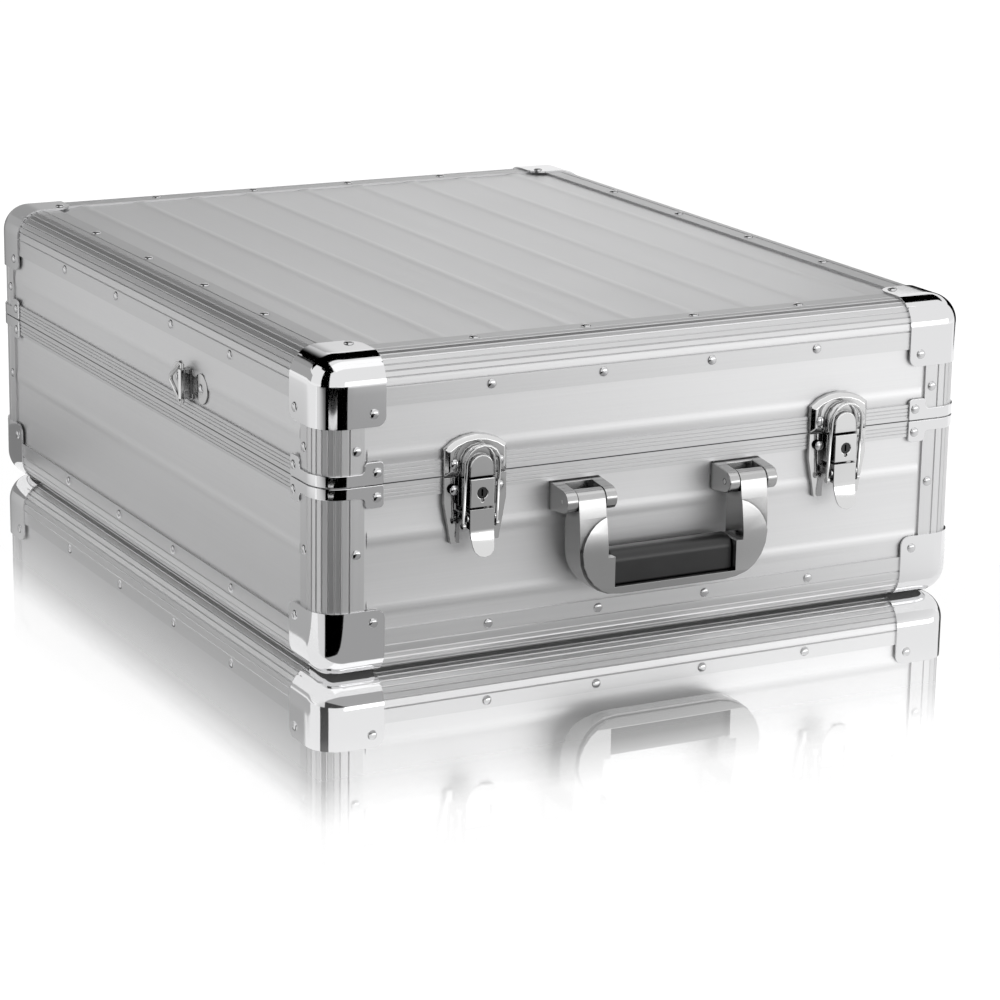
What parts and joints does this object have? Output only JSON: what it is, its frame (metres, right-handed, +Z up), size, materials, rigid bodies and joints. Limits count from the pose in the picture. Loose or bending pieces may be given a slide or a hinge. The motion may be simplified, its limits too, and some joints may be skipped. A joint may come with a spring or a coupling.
{
  "type": "flight case",
  "caption": "Low aluminium flight case with ribbed panels, grooved edge profiles, ball corner caps, two key latches, a drop handle, strap rings and a foam-lined hinged lid.",
  "frame": {"origin": "centre of the footprint of the whole case, at the underside of the base's corner caps", "axes": "+X to the right seen from the front, +Y to the rear hinges, +Z up; the handle faces -Y"},
  "size_m": [0.4604, 0.572, 0.1967],
  "materials": {
    "panel": "light ply faced with brushed, ribbed aluminium sheet",
    "profile": "extruded, satin anodised",
    "rivet": "polished dome heads",
    "plated": "bright plated steel",
    "grip": "matt black",
    "foam": "soft open-cell foam"
  },
  "bodies": {
    "base": {"base_bottom_panel": "panel", "base_front_panel": "panel", "base_rear_panel": "panel", "base_left_panel": "panel", "base_right_panel": "panel", "base_front_edge_profile": "profile", "base_rear_edge_profile": "profile", "base_left_edge_profile": "profile", "base_right_edge_profile": "profile", "base_corner_profiles": "profile", "base_closing_frame": "profile", "base_corner_caps": "plated", "base_seam_straps": "plated", "base_rivets": "rivet", "base_floor_foam": "foam", "base_wall_foam": "foam", "left_latch_plate": "plated", "right_latch_plate": "plated", "left_lock_case": "plated", "right_lock_case": "plated", "lever_pins": "plated", "left_handle_bracket": "plated", "right_handle_bracket": "plated", "handle_pins": "plated", "left_base_leaf": "plated", "right_base_leaf": "plated", "hinge_pins": "plated"},
    "lid": {"lid_top_panel": "panel", "lid_front_panel": "panel", "lid_rear_panel": "panel", "lid_left_panel": "panel", "lid_right_panel": "panel", "lid_front_edge_profile": "profile", "lid_rear_edge_profile": "profile", "lid_left_edge_profile": "profile", "lid_right_edge_profile": "profile", "lid_corner_profiles": "profile", "lid_closing_frame": "profile", "lid_corner_caps": "plated", "lid_seam_straps": "plated", "lid_rivets": "rivet", "lid_top_foam": "foam", "lid_wall_foam": "foam", "left_hook_plate": "plated", "right_hook_plate": "plated", "left_strap_plate": "plated", "right_strap_plate": "plated", "left_lid_leaf": "plated", "right_lid_leaf": "plated"},
    "handle": {"handle_frame": "plated", "handle_grip": "grip"},
    "left_lever": {"left_latch_lever": "plated"},
    "left_bail": {"left_latch_bail": "plated"},
    "left_key": {"left_key_barrel": "plated"},
    "left_ring": {"left_strap_ring": "plated"},
    "right_lever": {"right_latch_lever": "plated"},
    "right_bail": {"right_latch_bail": "plated"},
    "right_key": {"right_key_barrel": "plated"},
    "right_ring": {"right_strap_ring": "plated"}
  },
  "joints": [
    {"name": "lid_hinge", "type": "hinge", "parent": "base", "child": "lid", "pos_m": [0, 0.2825, 0.1182], "axis": [-1, 0, 0], "range_deg": [0, 100]},
    {"name": "handle_pivot", "type": "hinge", "parent": "base", "child": "handle", "pos_m": [0, -0.2745, 0.0983], "axis": [-1, 0, 0], "range_deg": [0, 95]},
    {"name": "left_lever_pivot", "type": "hinge", "parent": "base", "child": "left_lever", "pos_m": [-0.12396, -0.269, 0.0937], "axis": [-1, 0, 0], "range_deg": [0, 120]},
    {"name": "left_bail_pivot", "type": "hinge", "parent": "left_lever", "child": "left_bail", "pos_m": [-0.12396, -0.2685, 0.0892], "axis": [-1, 0, 0], "range_deg": [-150, 0]},
    {"name": "left_key_turn", "type": "hinge", "parent": "base", "child": "left_key", "pos_m": [-0.12396, -0.268, 0.109], "axis": [0, -1, 0], "range_deg": [0, 90]},
    {"name": "left_ring_swing", "type": "hinge", "parent": "lid", "child": "left_ring", "pos_m": [-0.2274, -0.06528, 0.1397], "axis": [0, 0, 1], "range_deg": [0, 180]},
    {"name": "right_lever_pivot", "type": "hinge", "parent": "base", "child": "right_lever", "pos_m": [0.12936, -0.269, 0.0937], "axis": [-1, 0, 0], "range_deg": [0, 120]},
    {"name": "right_bail_pivot", "type": "hinge", "parent": "right_lever", "child": "right_bail", "pos_m": [0.12936, -0.2685, 0.0892], "axis": [-1, 0, 0], "range_deg": [-150, 0]},
    {"name": "right_key_turn", "type": "hinge", "parent": "base", "child": "right_key", "pos_m": [0.12936, -0.268, 0.109], "axis": [0, -1, 0], "range_deg": [0, 90]},
    {"name": "right_ring_swing", "type": "hinge", "parent": "lid", "child": "right_ring", "pos_m": [0.2274, -0.06528, 0.1397], "axis": [0, 0, -1], "range_deg": [0, 180]}
  ],
  "couplings": [
    {"joint": "left_bail_pivot", "follows": "left_lever_pivot", "ratio": -1.25},
    {"joint": "right_bail_pivot", "follows": "right_lever_pivot", "ratio": -1.25}
  ]
}
